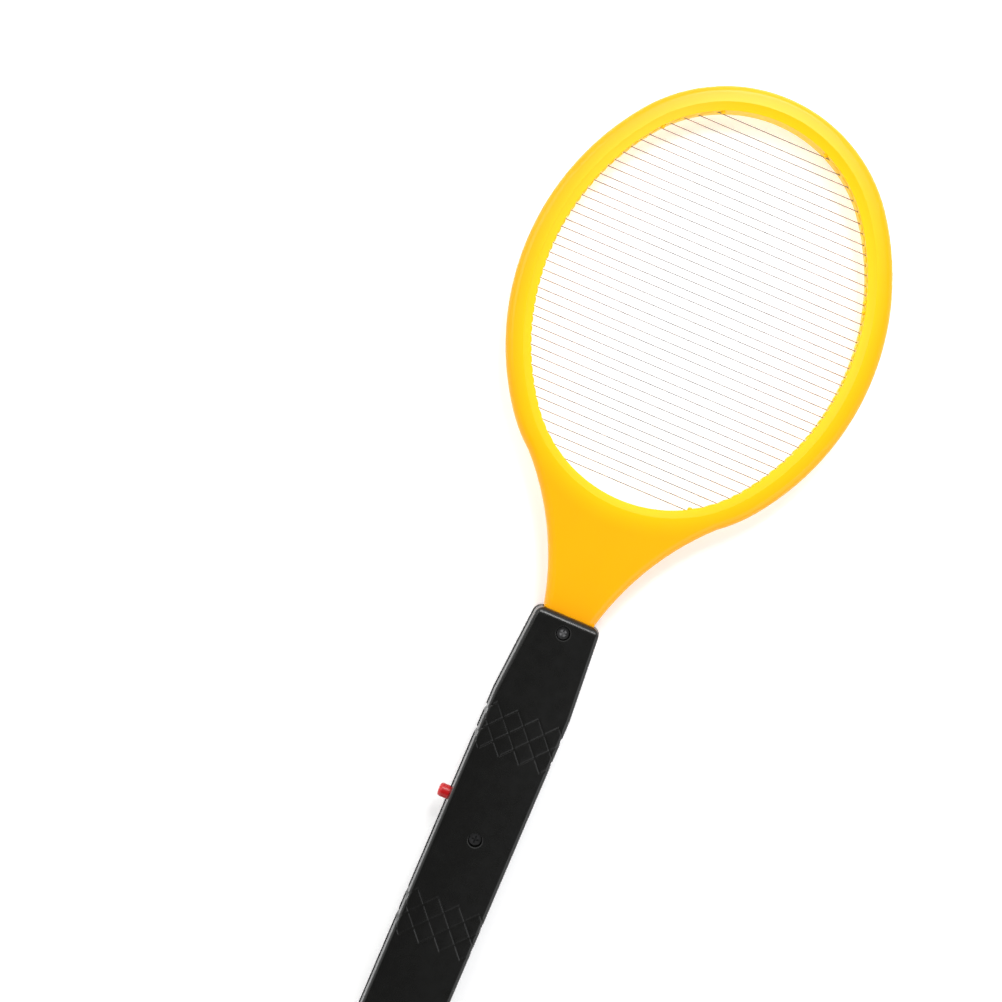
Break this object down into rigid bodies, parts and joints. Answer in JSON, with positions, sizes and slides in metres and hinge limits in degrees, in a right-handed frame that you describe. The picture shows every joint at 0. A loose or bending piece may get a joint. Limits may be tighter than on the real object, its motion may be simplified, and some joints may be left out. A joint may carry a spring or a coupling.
{
  "type": "electric fly swatter",
  "caption": "Racket-shaped electric fly swatter: oval frame with a grid of parallel wires, a tapered neck and a straight grip with a side push button and a battery door.",
  "frame": {"origin": "middle of the swatter's bounding box, on the plane where the two frame halves and the two handle shells meet", "axes": "+Y along the swatter towards the head's tip, +Z out of the face with the screws, +X to the right seen from that face; the button is on -X"},
  "size_m": [0.171, 0.47, 0.024],
  "materials": {
    "yellow_plastic": "smooth moulded, soft sheen",
    "black_plastic": "satin moulded",
    "red_plastic": "glossy moulded",
    "white_plastic": "moulded",
    "grid_wire": "thin drawn wire, copper-tinted",
    "screw_steel": "blackened steel",
    "board_green": "solder-masked laminate",
    "ferrite": "sintered",
    "winding": "enamelled copper wire under tape",
    "epoxy_black": "moulded epoxy",
    "resistor_tan": "lacquered ceramic with bands",
    "film_red": "dipped lacquer",
    "film_yellow": "dipped lacquer",
    "insulation_red": "soft insulation",
    "insulation_black": "soft insulation",
    "cell_wrap": "printed film over a steel can, plain",
    "contact_nickel": "nickel plated"
  },
  "bodies": {
    "swatter": {"head_front": "yellow_plastic", "head_rear": "yellow_plastic", "wire_live": "grid_wire", "wire_ground": "grid_wire", "handle_upper": "black_plastic", "handle_lower": "black_plastic", "handle_screws": "screw_steel", "switch_body": "epoxy_black", "circuit_board": "board_green", "transformer_core": "ferrite", "transformer_winding": "winding", "transistor": "epoxy_black", "resistors": "resistor_tan", "rectifier_diodes": "epoxy_black", "multiplier_capacitors": "film_red", "storage_capacitor": "film_yellow", "lead_live": "insulation_red", "lead_ground": "insulation_black", "lead_battery_positive": "insulation_red", "lead_battery_negative": "insulation_black", "cell_left": "cell_wrap", "cell_right": "cell_wrap", "contact_plate": "contact_nickel", "spring_plate": "contact_nickel", "contact_spring": "contact_nickel", "bridge_plate": "contact_nickel", "bridge_spring": "contact_nickel"},
    "button": {"push_button": "red_plastic"},
    "plunger": {"switch_plunger": "white_plastic"},
    "door": {"battery_door": "black_plastic"}
  },
  "joints": [
    {"name": "button_press", "type": "slide", "parent": "swatter", "child": "button", "axis": [1, 0, 0], "range_m": [0, 0.0022], "stiffness_N_per_m": 700, "springref_m": -0.001},
    {"name": "plunger_press", "type": "slide", "parent": "swatter", "child": "plunger", "axis": [1, 0, 0], "range_m": [0, 0.0022]},
    {"name": "door_slide", "type": "slide", "parent": "swatter", "child": "door", "axis": [0, -1, 0], "range_m": [0, 0.06]}
  ],
  "couplings": [
    {"joint": "plunger_press", "follows": "button_press", "ratio": 1}
  ]
}
